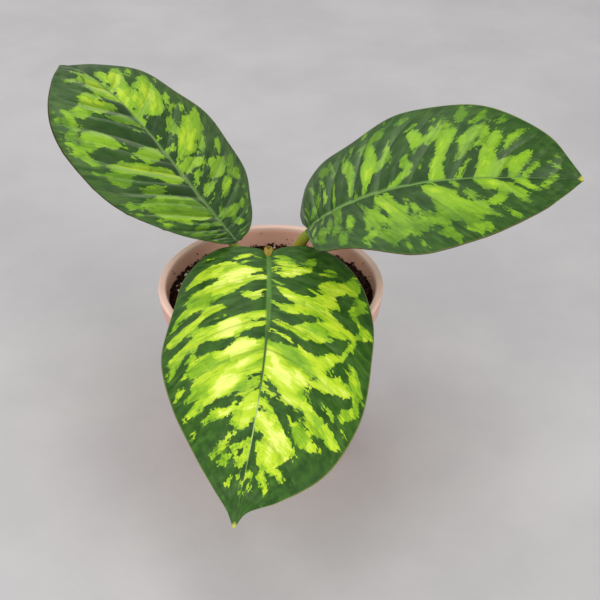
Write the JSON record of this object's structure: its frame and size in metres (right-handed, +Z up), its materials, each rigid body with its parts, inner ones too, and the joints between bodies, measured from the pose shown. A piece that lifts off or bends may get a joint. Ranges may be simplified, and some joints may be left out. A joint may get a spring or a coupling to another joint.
{
  "type": "potted homalomena",
  "caption": "Small potted homalomena: broad camouflage-patterned leaves on short stalks, rising from a crown in soil, in a round tapered pot with a low collar.",
  "frame": {"origin": "middle of the pot's flat underside", "axes": "+Z up; -Y towards the front leaf that hangs over the rim; +X towards the right leaf"},
  "size_m": [0.2826, 0.2484, 0.1923],
  "materials": {
    "pot": "matte",
    "soil": "matte",
    "crown": "satin",
    "leaf": "satin"
  },
  "bodies": {
    "root": {"pot": "pot", "soil": "soil", "crown": "crown", "leaf_front": "leaf", "leaf_left": "leaf", "leaf_right": "leaf"}
  },
  "joints": []
}
